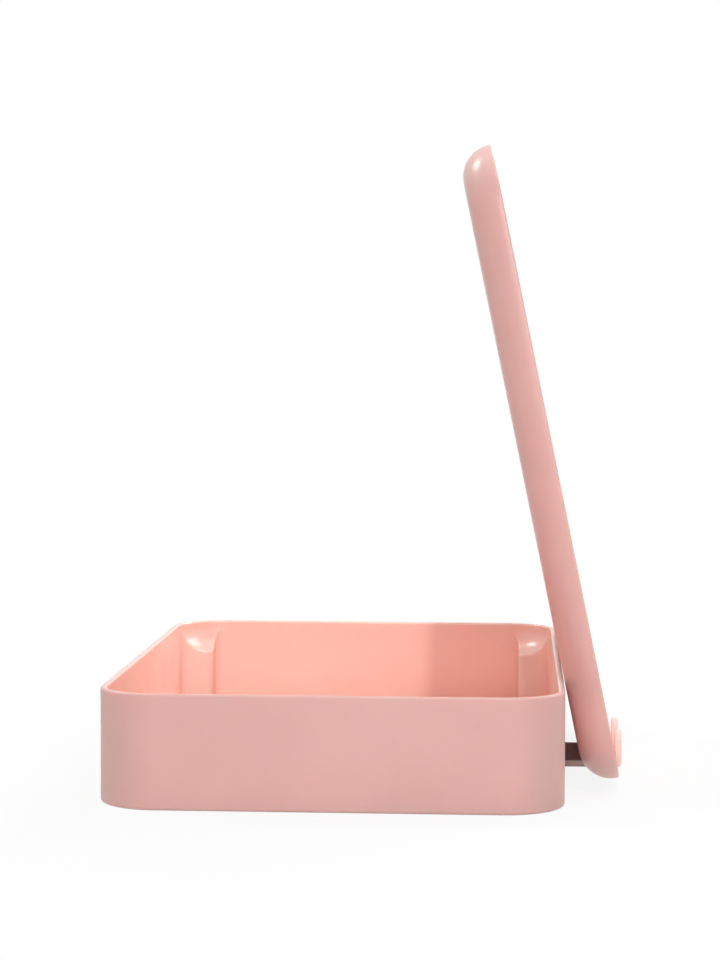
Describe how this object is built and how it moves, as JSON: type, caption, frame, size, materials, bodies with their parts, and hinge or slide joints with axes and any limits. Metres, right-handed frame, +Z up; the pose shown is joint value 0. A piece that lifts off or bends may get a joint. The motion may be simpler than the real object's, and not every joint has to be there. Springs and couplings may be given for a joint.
{
  "type": "bobbin box",
  "caption": "Shallow tray with rounded corners and scooped corner posts for sewing bobbins; its lid lifts off and stands upright in a forked stand on the tray's side.",
  "frame": {"origin": "centre of the tray's underside, on the surface the box stands on", "axes": "+Z up; +X across the tray towards the lid's stand; +Y along the tray, away from its front end"},
  "size_m": [0.1198, 0.15, 0.1495],
  "materials": {
    "tray_shell": "pale pink moulded plastic, satin outside and glossy inside",
    "stand_shell": "pale pink moulded plastic, satin",
    "lid_shell": "pale pink moulded plastic, glossy",
    "plug": "moulded pink plastic",
    "magnet": "nickel plated"
  },
  "bodies": {
    "box": {"tray": "tray_shell", "lid_stand": "stand_shell", "post_magnet_front_left": "magnet", "post_magnet_front_right": "magnet", "post_magnet_back_left": "magnet", "post_magnet_back_right": "magnet", "post_plug_front_left": "plug", "post_plug_front_right": "plug", "post_plug_back_left": "plug", "post_plug_back_right": "plug"},
    "lid": {"lid": "lid_shell", "lid_magnet_foot_front": "magnet", "lid_magnet_foot_back": "magnet", "lid_magnet_top_front": "magnet", "lid_magnet_top_back": "magnet"}
  },
  "joints": [
    {"name": "lid_lift", "type": "slide", "parent": "box", "child": "lid", "axis": [-0.2045, 0, 0.9789], "range_m": [0, 0.06]}
  ]
}
